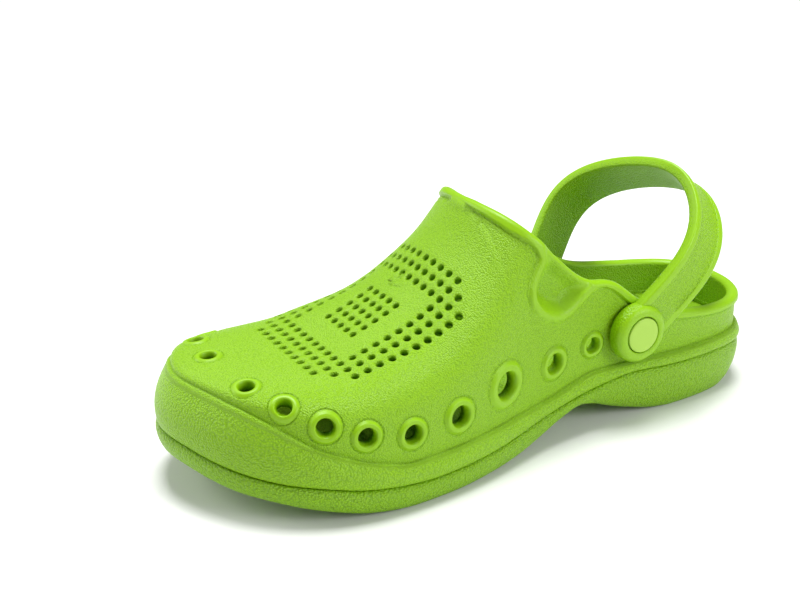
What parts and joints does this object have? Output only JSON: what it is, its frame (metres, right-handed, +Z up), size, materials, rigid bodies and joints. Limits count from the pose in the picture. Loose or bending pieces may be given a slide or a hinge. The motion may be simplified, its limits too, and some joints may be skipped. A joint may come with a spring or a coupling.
{
  "type": "garden clog",
  "caption": "Moulded rubber garden clog with a vented closed toe, a ribbed sole, a loose footbed and a heel strap that swings on two snap rivets.",
  "frame": {"origin": "middle of the bounding box, on the floor", "axes": "+Z up, toe along -Y, heel along +Y, outer (little-toe) side of this left clog along +X"},
  "size_m": [0.1082, 0.2879, 0.1091],
  "materials": {
    "upper_rubber": "fine pebble grain, satin",
    "sole_rubber": "fine pebble grain, satin",
    "footbed_rubber": "fine grain, satin",
    "strap_rubber": "smooth, satin",
    "rivet_plastic": "smooth, satin"
  },
  "bodies": {
    "clog": {"outsole": "sole_rubber", "upper_shell": "upper_rubber", "footbed": "footbed_rubber"},
    "strap": {"heel_strap": "strap_rubber"},
    "rivet_lateral": {"rivet_button_lateral": "rivet_plastic", "rivet_cap_lateral": "rivet_plastic"},
    "rivet_medial": {"rivet_button_medial": "rivet_plastic", "rivet_cap_medial": "rivet_plastic"}
  },
  "joints": [
    {"name": "strap_swing", "type": "hinge", "parent": "clog", "child": "strap", "pos_m": [0, 0.06025, 0.0443], "axis": [1, 0, 0], "range_deg": [-22, 58]},
    {"name": "rivet_lateral_spin", "type": "hinge", "parent": "clog", "child": "rivet_lateral", "pos_m": [0.034, 0.06025, 0.0443], "axis": [1, 0, 0], "continuous": true},
    {"name": "rivet_medial_spin", "type": "hinge", "parent": "clog", "child": "rivet_medial", "pos_m": [-0.039, 0.06025, 0.0443], "axis": [1, 0, 0], "continuous": true}
  ]
}
